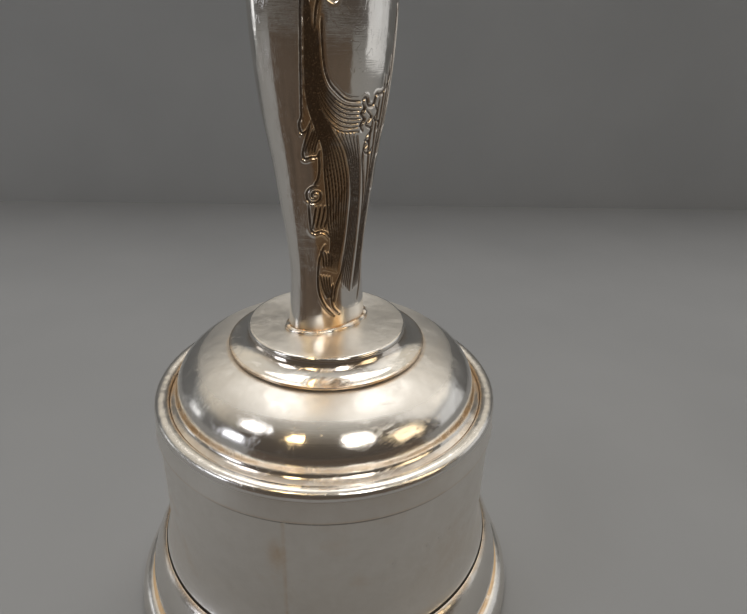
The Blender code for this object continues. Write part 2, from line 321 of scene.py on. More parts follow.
def eased(outline, radius=0.12, corner=28.0, steps=4):
    """The closed outline with its sharp corners rounded off."""
    result = []
    count = len(outline)
    for i, here in enumerate(outline):
        before, after = Vector(outline[i - 1]), Vector(outline[(i + 1) % count])
        here = Vector(here)
        to_before, to_after = before - here, after - here
        turn = math.degrees(to_before.angle(-to_after)) if to_before.length and to_after.length else 0.0
        if turn < corner:
            result.append(tuple(here))
            continue
        reach = min(radius, to_before.length * 0.45, to_after.length * 0.45)
        first, last = here + to_before.normalized() * reach, here + to_after.normalized() * reach
        for k in range(steps + 1):
            t = k / steps
            result.append(tuple(first * (1 - t) ** 2 + here * 2 * t * (1 - t) + last * t * t))
    return result


def stepped(outline, longest):
    """The closed outline with its long edges divided."""
    result = []
    for i, here in enumerate(outline):
        after = Vector(outline[(i + 1) % len(outline)])
        here = Vector(here)
        parts = max(1, math.ceil((after - here).length / longest))
        result += [tuple(here.lerp(after, k / parts)) for k in range(parts)]
    return result


def lathe(name, outline, shape=None, tarnish=None, grime=None, satin=None, turns=TURNS, longest=0.8):
    """Turns a closed outline about Z. shape(angle, r, z) gives how far the surface is pushed out."""
    rim = np.array(stepped(outline, longest))
    count = len(rim)
    angle = np.linspace(0.0, 2 * np.pi, turns, endpoint=False)
    a = np.repeat(angle, count)
    r = np.tile(rim[:, 0], turns)
    z = np.tile(rim[:, 1], turns)
    pushed = r + (shape(a, r, z) if shape else 0.0)
    points = np.stack([pushed * np.cos(a), pushed * np.sin(a), z], axis=1) * MM
    faces = []
    for i in range(turns):
        here, there = i * count, (i + 1) % turns * count
        for k in range(count):
            after = (k + 1) % count
            faces.append((here + k, here + after, there + after, there + k))
    obj = mesh_object(name, points.tolist(), faces)
    # The cut layer, filled from grime, holds painted shade along crevices and gaps.
    for layer, field in (("tarnish", tarnish), ("cut", grime), ("satin", satin)):
        paint(obj, layer, field(a, r, z) if field else np.zeros(len(a)))
    return obj


def bump_at(x, centre, width):
    return np.exp(-((x - centre) / width) ** 2)


def angle_gap(a, centre):
    """Signed difference of angles, within half a turn."""
    return (a - centre + np.pi) % (2 * np.pi) - np.pi


def wavy(a, z, size):
    """The slow unevenness of hand-worked sheet."""
    return size * (np.sin(3 * a + 0.8) * 0.5 + np.sin(5 * a - z * 0.35) * 0.3
                   + np.sin(8 * a + z * 0.6) * 0.2)


# ---- bell


def cap_outline():
    """Spun cap: flat crown, dome, cove, ledge under the bead, skirt, and its inner side."""
    crown = cap_high.z
    ledge = bead_low.z - 0.1
    dome_z = 33.9
    dome = arc((10.3, dome_z), (9.2, crown - dome_z), 90, 0, 40, 2.15)
    cove = [(19.55, 33.55), (19.66, 33.3), (19.85, 33.08), (20.1, 32.9), (20.45, 32.76)]
    inner = arc((10.3, dome_z), (8.55, crown - 0.65 - dome_z), 0, 90, 30, 2.15)
    outer = [(BOLT_HOLE_R, crown)] + dome + cove + [(BEAD_R - 0.7, ledge), (BEAD_R + 0.6, ledge)]
    skirt = [(SKIRT_R - 0.30, ledge - 0.04), (SKIRT_R - 0.27, ledge - 0.3), (SKIRT_R - 0.03, cap_low.z)]
    under = [(SKIRT_R - 0.85, cap_low.z), (SKIRT_R - 0.85, 31.45), (19.6, 31.45), (19.1, 32.6)]
    return eased(outer + skirt + under + inner + [(BOLT_HOLE_R, crown - 0.65)], 0.10)


def bead_outline():
    """Half-round wire: rounded above, its outer side soldered flush with the skirt."""
    low = bead_low.z - 0.14
    top = arc((BEAD_R, 32.50), (BEAD_WIRE, 0.86), 172, 0, 30, 2.2)
    return top + [(BEAD_R + BEAD_WIRE - 0.02, low), (BEAD_R - BEAD_WIRE + 0.1, low)]


def cap_tarnish(a, r, z):
    below_collar = bump_at(r, COLLAR_R + 0.12, 0.25) * (z > 38.0)
    warm = bump_at(r, 20.3, 0.5) * (z > 31.9) * (z < 34.0)
    under_edge = bump_at(z, cap_low.z, 0.2)
    inside = 0.45 * (z < 31.5) * (r < SKIRT_R - 0.5)
    return np.clip(0.35 * warm + 0.4 * below_collar + 0.3 * under_edge + inside, 0, 1)


# Painted shade: a dark line in the crevice between the dome's cove and the bead.
def cap_crevice_shade(a, r, z):
    return bump_at(r, BEAD_R - BEAD_WIRE, 0.13) * (z > 32.0) * (z < 33.5)


def cap_satin(a, r, z):
    """1 on the brushed crown, 0 on the polished lower dome."""
    edge = 17.1 + 0.25 * np.sin(4 * a + 1.0)
    skirt = 0.85 * (r > SKIRT_R - 0.6) * (z < 32.2)
    return np.clip((edge - r) / 0.7, 0, 1) * (z > 33) + skirt


def cap_shape(a, r, z):
    outside = ((z > 33.0) | (r > SKIRT_R - 0.7)).astype(float)
    ding = bump_at(angle_gap(a, degrees_right(38)) * 18, 0, 1.3) * bump_at(r, 17.0, 1.0)
    return -0.03 * outside + wavy(a, z, 0.018) * outside - 0.05 * ding * outside


def wall_outline():
    """Bell wall: neck inside the cap, straight drum, flare, and the liner inside the foot."""
    shoulder = cap_low.z - 0.2
    bend = FLARE_R + 0.6
    flare = arc((bend, FLARE_TOP), (bend - WALL_R, FLARE_TOP - mould_high.z), 180, 250, 24)
    outer = [(WALL_R - 0.8, body_high.z), (WALL_R - 0.8, shoulder), (WALL_R, shoulder)] + flare
    outer += [(FLARE_R - 0.02, mould_high.z + 0.22), (FLARE_R - 0.02, body_low.z)]
    inner = [(FLARE_R - 0.7, body_low.z), (FLARE_R - 0.7, mould_high.z)]
    inner += [(r - 0.7, z - 0.2) for r, z in reversed(flare)]
    inner += [(WALL_R - 0.7, shoulder - 0.7), (WALL_R - 1.5, shoulder), (WALL_R - 1.5, body_high.z)]
    return eased(outer + inner, 0.15)


SEAM = degrees_right(-12.5)
MARKS = [(degrees_right(19), 21.2, 0.0), (degrees_right(31), 21.6, 0.3), (degrees_right(36), 21.7, -0.2),
         (degrees_right(41), 21.8, 0.1)]


def wall_shape(a, r, z):
    outer = (r > WALL_R - 0.35) & (z > mould_high.z + 1.5) & (z < cap_low.z)
    side = angle_gap(a, SEAM) * WALL_R
    seam = -0.07 * bump_at(side + 0.10 * np.sin(z * 1.7), 0.0, 0.16) + 0.035 * bump_at(side, 0.55, 0.35)
    dent = -0.06 * bump_at(angle_gap(a, degrees_right(48)) * WALL_R, 0, 2.6) * bump_at(z, 18.5, 2.2)
    dent += -0.05 * bump_at(angle_gap(a, degrees_right(8)) * WALL_R, 0, 3.2) * bump_at(z, 24.0, 2.0)
    punched = np.zeros_like(a)
    for mark, height, tilt in MARKS:
        across = angle_gap(a, mark) * WALL_R
        inside = (np.abs(across + tilt * (z - height)) / 0.42) ** 3 + (np.abs(z - height) / 0.6) ** 3
        punched -= 0.10 * np.clip(1.6 - inside, 0, 1)
    return np.where(outer, seam + dent + punched + wavy(a, z, 0.035), 0.0)


def wall_tarnish(a, r, z):
    side = angle_gap(a, SEAM) * WALL_R
    seam = 0.25 * bump_at(side, 0.0, 0.22)
    patch = 0.45 * bump_at(angle_gap(a, degrees_right(-15)) * WALL_R, 0, 0.9) * bump_at(z, 24.0, 2.0)
    right = 0.12 * bump_at(angle_gap(a, degrees_right(44)) * WALL_R, 0, 5.0) * bump_at(z, 18.5, 5.0)
    inside = 0.55 * (r < WALL_R - 0.35)
    return np.clip(seam + patch + right + inside, 0, 1)


# Painted shade: dark lines in the gap under the skirt and in the groove above the moulding. Each punched
# mark is also darkened a little off its middle.
def wall_shade_and_marks(a, r, z):
    top = bump_at(z, cap_low.z - 0.28, 0.16) * (r > WALL_R - 0.3)
    low = bump_at(z, mould_high.z + 0.15, 0.22) * (r > FLARE_R - 0.3)
    marks = np.zeros_like(a)
    for mark, height, tilt in MARKS:
        marks += 0.55 * bump_at(angle_gap(a, mark) * WALL_R, 0.15, 0.22) * bump_at(z, height + 0.1, 0.5)
    return np.clip(top + low + marks, 0, 1)


def build_bell():
    turned_silver = silver("silver_spun", 0.13, satin_rough=0.36, lines=0.9, line_scale=11.0, stretch=0.55)
    satin = silver("silver_satin_wall", 0.36, lines=0.7, line_scale=7.0, haze=0.10, stain=0.6, dents=0.25)
    trim = silver("silver_trim", 0.20, lines=0.5, line_scale=8.0, haze=0.06, stain=0.4, dents=0.2)

    cap = lathe("cap_silver", cap_outline(), cap_shape, cap_tarnish, cap_crevice_shade, cap_satin, longest=0.3)
    finish_piece(cap, turned_silver, BODY, "cap_silver", "shoulder_cap")

    wall = lathe("wall_silver", wall_outline(), wall_shape, wall_tarnish, wall_shade_and_marks,
                 turns=720, longest=0.25)
    finish_piece(wall, satin, BODY, "body_silver", "bell_body")

    bead = lathe("bead_silver", bead_outline(), lambda a, r, z: wavy(a, z, 0.02) - 0.01,
                 lambda a, r, z: 0.8 * bump_at(r, BEAD_R - BEAD_WIRE, 0.3))
    finish_piece(bead, trim, BODY, "trim_silver", "shoulder_bead")

    inside = FLARE_R + 0.2
    rise = mould_high.z - 0.05
    widest = mould_low.z + 1.0
    bulge = arc((inside, widest), (MOULD_R - 0.04 - inside, rise - widest), 90, 0, 40, 1.5)
    band = bulge + [(MOULD_R - 0.05, widest - 0.3)]
    band += arc((MOULD_R - 0.45, mould_low.z + 0.64), (0.4, 0.62), 0, -80, 8)
    band += [(inside, mould_low.z + 0.02)]
    moulding = lathe("moulding_silver", eased(band, 0.16),
                     lambda a, r, z: wavy(a, z, 0.02) * (r > inside + 0.1),
                     lambda a, r, z: 0.5 * bump_at(z, rise, 0.4) + 0.9 * bump_at(z, mould_low.z, 0.5))
    finish_piece(moulding, trim, BODY, "trim_silver", "foot_moulding")

    top = mould_low.z - 0.03
    low = 0.4
    roll = arc((FOOT_ROLL_R, low), (FOOT_R - 0.04 - FOOT_ROLL_R, top - low), 90, 0, 30, 2.35)
    ring = [(inside, top)] + roll + [(FOOT_R - 0.25, 0.12), (FOOT_R - 0.55, 0.01), (inside, 0.01)]
    foot = lathe("foot_silver", eased(ring, 0.12), lambda a, r, z: wavy(a, z, 0.02) * (r > 25.2) * (z > 0.1),
                 lambda a, r, z: 0.9 * bump_at(z, top, 0.5) * (r < 26.0) + 0.7 * bump_at(z, 0.0, 0.35))
    finish_piece(foot, trim, BODY, "trim_silver", "foot_ring")


def build_collar():
    low, high = collar_low.z, collar_high.z
    edge = arc((COLLAR_TOP_R, high - 0.3), (0.3, 0.3), 90, -35, 10)
    cove = arc((COLLAR_R - 0.08, high - 0.42), (COLLAR_R - 9.9, 1.80), 184, 262, 30)
    lip = [(COLLAR_R - 0.05, low + 0.17), (COLLAR_R - 0.02, low + 0.08), (COLLAR_R - 0.08, low - 0.2)]
    section = [(BOLT_HOLE_R, high)] + edge + cove + lip + [(BOLT_HOLE_R, low - 0.2)]
    material = silver("silver_collar", 0.08, lines=0.6, line_scale=10.0, haze=0.04, stain=0.2, dents=0.1)
    obj = lathe("collar_silver", eased(section, 0.06), lambda a, r, z: wavy(a, z, 0.015) * (r > 5) - 0.01,
                lambda a, r, z: (0.6 * bump_at(r, COLLAR_R, 0.25)
                                 + 0.35 * bump_at(z, high - 1.1, 0.4) * (r < 10.5)))
    satin = silver("silver_collar_top", 0.32, lines=1.0, line_scale=8.0, stain=0.3, stretch=0.6)
    finish_piece(obj, material, BODY, "collar_silver", "collar")
    obj.data.materials.append(satin)
    for face in obj.data.polygons:
        middle = face.center / MM
        if middle.z > high - 0.12 and math.hypot(middle.x, middle.y) < 9.75:
            face.material_index = 1


# ---- handle

STATIONS = [(0.0, 5.35), (4.0, 5.02), (7.5, 4.93), (11.5, 5.30), (15.5, 5.90), (20.5, 6.68),
            (26.0, 7.72), (31.0, 8.36), (36.0, 8.70), (41.0, 8.78), (47.0, 8.55)]
POMMEL_START = STATIONS[-1][0]
POMMEL_POWER = 2.5


def half_width(height):
    """The handle's half width at a height above its base, as in the frame's shells."""
    if height >= POMMEL_START:
        t = min(1.0, (height - POMMEL_START) / (HANDLE_LENGTH - POMMEL_START))
        return STATIONS[-1][1] * (1.0 - t ** POMMEL_POWER) ** (1.0 / POMMEL_POWER)
    last = len(STATIONS) - 1
    i = max(k for k in range(last) if STATIONS[k][0] <= height)
    (h1, w1), (h2, w2) = STATIONS[i], STATIONS[i + 1]
    h0, w0 = STATIONS[max(i - 1, 0)]
    h3, w3 = STATIONS[min(i + 2, last)]
    t = (height - h1) / (h2 - h1)
    m1 = (w2 - w0) / (h2 - h0) * (h2 - h1)
    m2 = (w3 - w1) / (h3 - h1) * (h2 - h1) if i + 2 <= last else 0.0
    return ((2 * t**3 - 3 * t**2 + 1) * w1 + (t**3 - 2 * t**2 + t) * m1
            + (3 * t**2 - 2 * t**3) * w2 + (t**3 - t**2) * m2)


def curve_through(points, steps=10):
    """A smooth line through points of the pattern, as an array of (across, up) in millimetres."""
    points = [np.array(p, dtype=float) for p in points]
    ends = [2 * points[0] - points[1]] + points + [2 * points[-1] - points[-2]]
    line = []
    for i in range(1, len(ends) - 2):
        p0, p1, p2, p3 = ends[i - 1:i + 3]
        for k in range(steps):
            t = k / steps
            line.append(0.5 * (2 * p1 + (p2 - p0) * t + (2 * p0 - 5 * p1 + 4 * p2 - p3) * t * t
                               + (3 * p1 - p0 - 3 * p2 + p3) * t ** 3))
    line.append(points[-1])
    return np.array(line)


def spiral(centre, start, turns, first, last, count=26):
    """A volute's line, from its outer end inwards; start in degrees, turns signed."""
    points = []
    for i in range(count + 1):
        t = i / count
        a = math.radians(start) + turns * 2 * math.pi * t
        radius = first + (last - first) * t
        points.append((centre[0] + radius * math.cos(a), centre[1] + radius * math.sin(a)))
    return points


class Chasing:
    """The pattern on one broad face: lines (across, up) with a width, a depth and tapered ends."""

    def __init__(self):
        self.strokes = []

    def line(self, points, width=0.13, depth=0.13, taper=0.25, smooth=True):
        route = curve_through(points) if smooth and len(points) > 2 else np.array(points, dtype=float)
        self.strokes.append((route, width, depth, taper))

    def between(self, first, last, count, **settings):
        """Lines spaced evenly from one line to another."""
        a, b = curve_through(first), curve_through(last)
        count_a = min(len(a), len(b))
        a = a[np.linspace(0, len(a) - 1, count_a).astype(int)]
        b = b[np.linspace(0, len(b) - 1, count_a).astype(int)]
        for k in range(count):
            t = k / (count - 1)
            self.strokes.append((a * (1 - t) + b * t, settings.get("width", 0.11),
                                 settings.get("depth", 0.11), settings.get("taper", 0.3)))


FAN_TOP = [(-4.2, 34.0), (-3.9, 31.0), (-3.3, 28.9), (-2.1, 27.5), (-0.8, 26.8), (0.4, 26.6), (1.3, 26.6)]
FAN_LOW = [(-4.9, 34.5), (-4.9, 31.0), (-4.3, 28.0), (-3.3, 26.0), (-2.1, 24.7), (-0.7, 24.05), (1.4, 24.0)]
STRAP_OUT = [(-5.5, 37.0), (-5.4, 31.0), (-5.1, 27.5), (-4.2, 24.9), (-3.1, 22.4), (-2.7, 19.6),
             (-2.3, 16.8),
             (-2.0, 14.0), (-1.5, 11.3), (-1.9, 8.2)]
STRAP_IN = [(-4.9, 36.0), (-4.8, 31.4), (-4.4, 28.4), (-3.4, 26.0), (-2.2, 24.2), (-0.8, 21.9), (0.1, 18.6),
            (0.2, 15.0), (0.0, 11.4), (-0.6, 7.7)]
STEM_IN = [(-1.8, 24.3), (-0.1, 21.4), (0.8, 17.6), (0.8, 13.8), (0.5, 10.0), (-0.2, 6.4)]
STEM_OUT = [(0.9, 23.6), (1.6, 20.6), (2.0, 17.2), (2.1, 13.5), (1.9, 9.6), (1.2, 4.6)]
RIGHT_IN = [(2.5, 23.4), (2.1, 21.4), (2.6, 18.6), (2.9, 15.6), (2.8, 11.8), (2.5, 8.0), (1.9, 4.6)]
RIGHT_OUT = [(7.0, 33.5), (6.7, 29.4), (6.0, 26.2), (5.1, 22.6), (4.4, 18.4), (4.0, 14.0), (3.7, 9.6),
             (3.1, 5.0)]


def chase_leaf(c):
    """The pattern's lower half: leaf and volute at the left, fan under the shield, leaf at the right."""
    heavy = {"width": 0.15, "depth": 0.17, "taper": 0.1}
    edge = {"width": 0.15, "depth": 0.17, "taper": 0.05}
    light = {"width": 0.12, "depth": 0.20, "taper": 0.15}
    c.line([(-5.85, 41.0), (-5.85, 36.0), (-5.8, 31.0), (-5.65, 27.0), (-5.6, 25.7), (-5.8, 24.9),
            (-5.45, 24.1),
            (-4.9, 24.5), (-4.5, 25.5)], **heavy)
    c.line([(-4.6, 25.2), (-4.85, 24.0), (-5.1, 22.9), (-5.25, 21.9), (-5.0, 21.35), (-4.3, 21.5),
            (-3.65, 21.6),
            (-3.4, 22.3)], **heavy)
    c.line([(-3.5, 21.7), (-3.35, 20.4), (-3.45, 19.1), (-3.9, 18.35)], **heavy)
    c.line(spiral((-3.7, 17.2), 80, 1.6, 1.12, 0.16, 40), smooth=False, **heavy)
    c.line([(-4.4, 16.3), (-4.25, 15.0), (-4.1, 13.9), (-3.95, 13.15), (-3.5, 12.75), (-2.8, 12.9),
            (-2.1, 12.6),
            (-1.6, 11.9)], **heavy)
    c.line([(-2.3, 11.2), (-2.75, 9.8), (-2.95, 8.2), (-3.0, 6.6), (-2.9, 5.2), (-2.5, 3.9), (-1.9, 2.8),
            (-1.1, 1.9)], **heavy)
    c.line([(-1.15, 6.0), (-1.35, 4.3), (-1.1, 2.9), (-0.4, 2.0)], **heavy)
    c.line([(-1.1, 3.8), (-0.7, 5.7), (0.3, 8.0), (0.8, 11.0)], **light)

    c.line([(-3.75, 35.0), (-3.7, 33.0), (-3.4, 30.6), (-2.75, 29.0), (-1.75, 28.0), (-0.9, 27.4),
            (0.0, 27.15),
            (1.1, 27.1)], **edge)
    c.line([(-4.5, 33.8), (-4.3, 35.8), (-3.7, 37.3), (-2.6, 37.8), (-2.0, 37.1), (-2.5, 36.4),
            (-3.2, 36.6)], **heavy)
    c.line([(-5.2, 35.6), (-4.9, 37.2), (-4.2, 38.4), (-3.1, 38.7)], **light)
    c.between(FAN_TOP, FAN_LOW, 7, width=0.12, depth=0.16, taper=0.12)
    c.between(STRAP_OUT, STRAP_IN, 8, **light)
    c.between(STEM_IN, STEM_OUT, 6, **light)
    c.between(RIGHT_IN, RIGHT_OUT, 6, width=0.12, depth=0.19, taper=0.12)

    c.line([(1.35, 27.0), (1.75, 26.3), (1.3, 25.8), (1.8, 25.2), (1.35, 24.6),
            (1.7, 23.9)], width=0.17, depth=0.19)
    c.line([(1.2, 27.1), (1.9, 27.4), (2.3, 26.6), (3.1, 26.6), (3.5, 27.6), (4.3, 27.6), (5.2, 28.0),
            (6.0, 28.9),
            (6.5, 30.6), (6.8, 33.5), (6.9, 36.5)], **edge)
    c.line([(2.0, 26.2), (2.9, 25.4), (2.2, 24.6), (3.2, 24.0), (2.4, 23.2)], **light)
    c.line([(3.4, 26.6), (4.0, 25.9), (3.6, 25.0), (4.6, 24.6), (4.2, 23.7)], **light)
    c.line([(2.1, 22.9), (2.9, 22.6), (2.2, 21.8), (3.1, 21.3), (3.7, 21.9)], **light)
    c.line([(7.4, 36.0), (7.3, 31.0), (6.9, 27.6), (6.3, 25.4), (6.4, 24.2), (5.8, 23.6), (5.3, 22.4),
            (5.4, 21.2),
            (4.8, 20.4), (4.6, 18.6), (4.8, 17.4), (4.3, 16.4), (4.2, 14.2), (4.3, 13.0), (3.9, 11.8),
            (3.9, 9.0),
            (3.5, 5.6), (2.7, 2.8)], width=0.13, depth=0.14, taper=0.08)

    for k in range(9):
        up = 33.0 - 0.95 * k
        c.line([(-5.7, up), (-5.4, up - 0.7), (-5.2, up - 1.6)], width=0.08, depth=0.09, taper=0.3)
    for k in range(4):
        c.line([(-5.0 + 0.32 * k, 22.1 - 0.05 * k), (-4.7 + 0.3 * k, 23.2),
                (-4.3 + 0.25 * k, 24.5)], **light)
        c.line([(-3.8 + 0.45 * k, 13.3), (-3.65 + 0.5 * k, 14.6), (-3.5 + 0.5 * k, 16.0)], **light)
        c.line([(-2.7 + 0.4 * k, 10.6 - 0.2 * k), (-2.4 + 0.36 * k, 9.5), (-2.3 + 0.3 * k, 8.3)], **light)
        c.line([(-2.7 + 0.36 * k, 7.4 - 0.1 * k), (-2.4 + 0.3 * k, 5.8), (-1.9 + 0.2 * k, 4.2)], **light)


def upended(points, middle=41.0, squeeze=0.52):
    """The same line above the shield's middle, upside down and shortened to the space there."""
    return [(x * 0.93, middle + (middle - y) * squeeze) for x, y in points]


def chase_face():
    """The whole pattern: plain shield between a lower leaf and its shorter counterpart above."""
    lower = Chasing()
    chase_leaf(lower)
    upper = [(np.array(upended(route)), width * 0.9, depth, taper)
             for route, width, depth, taper in lower.strokes]
    return lower.strokes + upper


def chased_field(across, up):
    """How deep the pattern is cut at each point of the face, and how much of the shade of age it holds."""
    cut = np.zeros_like(across)
    lift = np.zeros_like(across)
    shade = np.zeros_like(across)
    for route, width, depth, taper in chase_face():
        margin = 5.0 * width + 0.45
        low, high = route.min(axis=0) - margin, route.max(axis=0) + margin
        picked = (across > low[0]) & (across < high[0]) & (up > low[1]) & (up < high[1])
        if not picked.any():
            continue
        x, y = across[picked], up[picked]
        best = np.full(x.shape, 9.0)
        along = np.zeros_like(x)
        lengths = np.linalg.norm(np.diff(route, axis=0), axis=1)
        reached = np.concatenate([[0.0], np.cumsum(lengths)])
        for i, length in enumerate(lengths):
            if length < 1e-6:
                continue
            dx, dy = (route[i + 1] - route[i]) / length
            t = np.clip((x - route[i, 0]) * dx + (y - route[i, 1]) * dy, 0.0, length)
            gap = np.hypot(x - route[i, 0] - t * dx, y - route[i, 1] - t * dy)
            closer = gap < best
            best[closer] = gap[closer]
            along[closer] = (reached[i] + t[closer]) / reached[-1]
        ends = np.clip(np.minimum(along, 1 - along) / max(taper, 1e-3), 0.0, 1.0) if taper else 1.0
        strength = 0.35 + 0.65 * np.sqrt(ends)
        groove = depth * strength * np.exp(-(best / (width * (0.6 + 0.4 * strength))) ** 2)
        ridge = 0.22 * depth * strength * np.exp(-((best - 2.1 * width) / width) ** 2)
        cut[picked] = np.maximum(cut[picked], groove)
        lift[picked] = np.maximum(lift[picked], ridge)
        shade[picked] = np.maximum(shade[picked], strength * np.exp(-(best / 0.42) ** 2))
    return cut, lift, shade


def heights():
    """Rows up the handle: even along its length, closer together where the pommel rounds over."""
    straight = np.arange(0.0, POMMEL_START, 0.105)
    span = HANDLE_LENGTH - POMMEL_START
    bend = POMMEL_START + span * np.sin(np.linspace(0.0, math.pi / 2, 190))
    return np.concatenate([straight, bend[:-1]])


def handle_half(name, side, material, node):
    """One chased half shell, side -1 front and +1 back, with a smooth inner side and closed rims."""
    rows = heights()
    columns = 236
    turn = np.linspace(-math.pi / 2, math.pi / 2, columns)
    width = np.array([half_width(h) for h in rows])
    grid_h = np.repeat(rows, columns).reshape(len(rows), columns)
    sine, cosine = np.sin(turn), np.cos(turn)
    across = np.outer(width, sine)
    away = np.outer(width * FLATNESS, cosine)
    speed = np.hypot(np.outer(width, cosine), np.outer(width * FLATNESS, sine))
    step = turn[1] - turn[0]
    distance = np.cumsum(speed, axis=1) * step
    distance -= distance[:, columns // 2:columns // 2 + 1]
    cut, lift, shade = chased_field(distance.ravel(), grid_h.ravel())
    push = (lift - cut).reshape(grid_h.shape) - 0.03

    slope = np.gradient(width, rows)
    normal_x = np.tile(sine * FLATNESS, (len(rows), 1))
    normal_y = np.tile(cosine, (len(rows), 1))
    flat = np.hypot(normal_x, normal_y)
    normal_z = -slope[:, None] * FLATNESS / np.maximum(flat, 1e-6)
    normal_x, normal_y = normal_x / flat, normal_y / flat
    size = np.sqrt(1 + normal_z ** 2)
    easing = np.clip(width / 2.0, 0, 1)[:, None]
    x = across + normal_x / size * push * easing
    y = away + normal_y / size * push * easing
    z = HANDLE_BASE + grid_h + normal_z / size * push * easing

    flip = -1.0 if side < 0 else 1.0
    outer = np.stack([(-flip * x).ravel(), (flip * y).ravel() + flip * 0.01, z.ravel()], axis=1)
    inner_columns = 15
    inner_turn = np.linspace(-math.pi / 2, math.pi / 2, inner_columns)
    room = np.maximum(width - SHEET, 0.02)
    thick = np.maximum(width * FLATNESS - SHEET, 0.02)
    inner_x = np.outer(room, np.sin(inner_turn))
    inner_y = np.outer(thick, np.cos(inner_turn))
    top = HANDLE_BASE + HANDLE_LENGTH
    inner_z = np.repeat(np.minimum(HANDLE_BASE + rows, top - SHEET), inner_columns)
    inner = np.stack([(-flip * inner_x).ravel(), (flip * inner_y).ravel() + flip * 0.01, inner_z], axis=1)

    tip = [[0.0, flip * 0.01, top - 0.03]]
    inner_tip = [[0.0, flip * 0.01, top - SHEET + 0.01]]
    points = np.concatenate([outer, inner, tip, inner_tip]) * MM
    start = len(outer)
    tip_at, inner_tip_at = start + len(inner), start + len(inner) + 1
    last = len(rows) - 1
    faces = []
    for i in range(last):
        a, b = i * columns, (i + 1) * columns
        faces += [(a + k, b + k, b + k + 1, a + k + 1) for k in range(columns - 1)]
        a, b = start + i * inner_columns, start + (i + 1) * inner_columns
        faces += [(a + k, a + k + 1, b + k + 1, b + k) for k in range(inner_columns - 1)]
        faces.append((i * columns, a, b, (i + 1) * columns))
        a, b = i * columns + columns - 1, start + i * inner_columns + inner_columns - 1
        faces.append((a, a + columns, b + inner_columns, b))
    a, b = last * columns, start + last * inner_columns
    faces += [(a + k, tip_at, a + k + 1) for k in range(columns - 1)]
    faces += [(b + k, b + k + 1, inner_tip_at) for k in range(inner_columns - 1)]
    faces.append((a, b, inner_tip_at, tip_at))
    faces.append((a + columns - 1, tip_at, inner_tip_at, b + inner_columns - 1))
    faces.append(tuple(range(columns)) + tuple(start + inner_columns - 1 - k for k in range(inner_columns)))
    obj = mesh_object(name, points.tolist(), faces, sharp=math.radians(75))

    pad = np.zeros(len(points) - len(outer))
    low_end = 0.8 * np.exp(-(grid_h.ravel() / 0.7) ** 2)
    across, up = distance.ravel(), grid_h.ravel()
    # The leaf field left of the shield is painted amber: partly tarnish, partly a painted golden reflection
    # on the chased relief.
    edge = np.interp(up, [0, 4, 12, 20, 25, 40], [-2.6, -3.0, -3.6, -4.2, -5.7, -5.8])
    into = np.interp(up, [0, 10, 20, 24, 27, 40], [0.0, 0.5, 0.6, -0.6, -2.6, -3.8])
    leaf = np.clip((across - edge) / 0.4, 0, 1) * np.clip((into - across) / 0.9, 0, 1) * (up < 40)
    tarnish_and_painted_gold = np.clip(0.30 * shade + 0.95 * leaf + low_end, 0, 1)
    paint(obj, "tarnish", np.concatenate([tarnish_and_painted_gold, pad]))
    paint(obj, "cut", np.concatenate([np.clip(cut / 0.11, 0, 1), pad]))
    return finish_piece(obj, material, BODY, "handle_silver", node)


def solder_fillet():
    """Uneven solder round the handle's foot, where it meets the collar."""
    around, section = 220, 12
    wide = half_width(0.0)
    points, faces = [], []
    for i in range(around):
        a = 2 * math.pi * i / around
        size = 0.42 + 0.06 * math.sin(4 * a + 1.0) + 0.04 * math.sin(9 * a) + 0.02 * math.sin(17 * a + 2.0)
        nx, ny = math.cos(a) * FLATNESS, math.sin(a)
        length = math.hypot(nx, ny)
        nx, ny = nx / length, ny / length
        cx, cy = wide * math.cos(a) + nx * 0.02, wide * FLATNESS * math.sin(a) + ny * 0.02
        for k in range(section):
            b = 2 * math.pi * k / section
            out, rise = math.cos(b) * size * 1.15, math.sin(b) * size * 0.95
            points.append(((cx + nx * out) * MM, (cy + ny * out) * MM, (collar_high.z + 0.12 + rise) * MM))
        after = (i + 1) % around
        faces += [(i * section + k, after * section + k, after * section + (k + 1) % section,
                   i * section + (k + 1) % section) for k in range(section)]
    obj = mesh_object("handle_solder", points, faces)
    paint(obj, "tarnish", np.array([0.35 + 0.3 * math.sin(i * 0.03) for i in range(len(points))]).clip(0, 1))
    material = silver("silver_solder", 0.16, lines=0.2, haze=0.1, stain=0.5, turned=False, dents=0.6)
    finish_piece(obj, material, BODY, "trim_silver")


def build_handle():
    material = silver("silver_chased", 0.09, lines=0.5, line_scale=6.0, haze=0.03, turned=False, stain=0.15,
                      dents=0.08, grime=0.85)
    handle_half("handle_front_silver", -1, material, "handle_front_shell")
    handle_half("handle_back_silver", 1, material, "handle_back_shell")
    solder_fillet()
    pitch = plain_metal("pitch_filling", (0.045, 0.030, 0.022), (0.02, 0.014, 0.010), 0.6, metallic=0.0)
    brass = plain_metal("plug_brass", (0.66, 0.47, 0.22), (0.22, 0.14, 0.06), 0.38)
    for node, looks in (("handle_filler", pitch), ("handle_neck_plug", brass)):
        frame["nodes"][node].data.materials.clear()
        frame["nodes"][node].data.materials.append(looks)


# ---- clapper and its hanging


